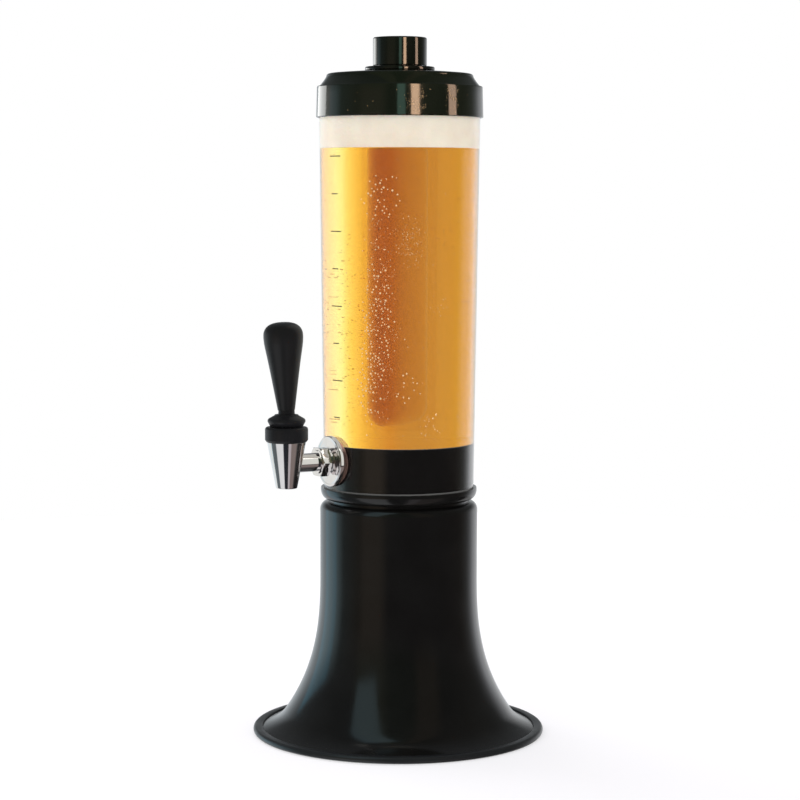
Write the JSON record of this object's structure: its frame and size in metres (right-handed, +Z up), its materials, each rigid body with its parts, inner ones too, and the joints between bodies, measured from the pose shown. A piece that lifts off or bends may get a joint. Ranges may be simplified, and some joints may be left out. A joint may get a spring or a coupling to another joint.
{
  "type": "beer tower dispenser",
  "caption": "Free-standing drink tower: bell base, clear tapered tank of beer with foam, lift-off lid with a hanging ice tube and screw knob, and a chrome lever tap.",
  "frame": {"origin": "centre of the base on the ground", "axes": "+Z up along the tower's axis, the tap points to -Y"},
  "size_m": [0.2338, 0.2366, 0.555],
  "materials": {
    "base_black": "gloss",
    "rim_rubber": "satin",
    "lid_black": "gloss",
    "knob_black": "gloss",
    "clear_acrylic": "gloss",
    "ice_tube_clear": "gloss",
    "ink_black": "matte",
    "beer_gold": "gloss",
    "foam_cream": "matte",
    "ice_white": "gloss",
    "liner_white": "matte",
    "gasket_grey": "matte",
    "silicone_pink": "satin",
    "silicone_white": "satin",
    "chrome_bright": "polished",
    "screw_steel": "satin",
    "spring_steel": "satin",
    "handle_black": "satin",
    "bonnet_black": "satin"
  },
  "bodies": {
    "root": {"base_bell": "base_black", "base_neck": "base_black", "base_deck": "base_black", "rim_ring": "rim_rubber", "cup_screws": "screw_steel", "tank_cup": "base_black", "tank_gasket": "gasket_grey", "clear_tube": "clear_acrylic", "graduation_ticks": "ink_black", "beer": "beer_gold", "foam_head": "foam_cream", "escutcheon": "chrome_bright", "outer_gasket": "silicone_pink", "inner_gasket": "silicone_pink", "lock_nut": "chrome_bright", "jam_nut": "chrome_bright", "tap_body": "chrome_bright", "bonnet_nut": "bonnet_black", "guide_washer": "screw_steel", "valve_spring": "spring_steel"},
    "lid": {"lid": "lid_black", "lid_seal": "gasket_grey"},
    "ice_tube": {"ice_tube": "ice_tube_clear", "ice_fill": "ice_white"},
    "liner": {"knob_liner": "liner_white"},
    "knob": {"ice_knob": "knob_black"},
    "stem": {"valve_stem": "screw_steel", "seat_plug": "silicone_white", "pivot_pin": "screw_steel"},
    "lever": {"lever_saucer": "bonnet_black", "handle_stud": "screw_steel", "tap_handle": "handle_black"}
  },
  "joints": [
    {"name": "lid_lift", "type": "slide", "parent": "root", "child": "lid", "axis": [0, 0, 1], "range_m": [0, 0.3]},
    {"name": "ice_lift", "type": "slide", "parent": "lid", "child": "ice_tube", "axis": [0, 0, 1], "range_m": [0, 0.3]},
    {"name": "knob_rise", "type": "slide", "parent": "ice_tube", "child": "liner", "axis": [0, 0, 1], "range_m": [0, 0.0166]},
    {"name": "knob_turn", "type": "hinge", "parent": "liner", "child": "knob", "pos_m": [0, 0, 0.54], "axis": [0, 0, 1], "range_deg": [0, 1080]},
    {"name": "stem_lift", "type": "slide", "parent": "root", "child": "stem", "axis": [0, 0, 1], "range_m": [0, 0.0049], "deforming": ["valve_spring"]},
    {"name": "lever_tilt", "type": "hinge", "parent": "stem", "child": "lever", "pos_m": [0, -0.1015, 0.2564], "axis": [1, 0, 0], "range_deg": [0, 25], "stiffness_Nm_per_rad": 0.6, "springref_deg": -34.38}
  ],
  "couplings": [
    {"joint": "knob_rise", "follows": "knob_turn", "m_per_rad": 0.00087535},
    {"joint": "stem_lift", "follows": "lever_tilt", "m_per_rad": 0.011}
  ]
}
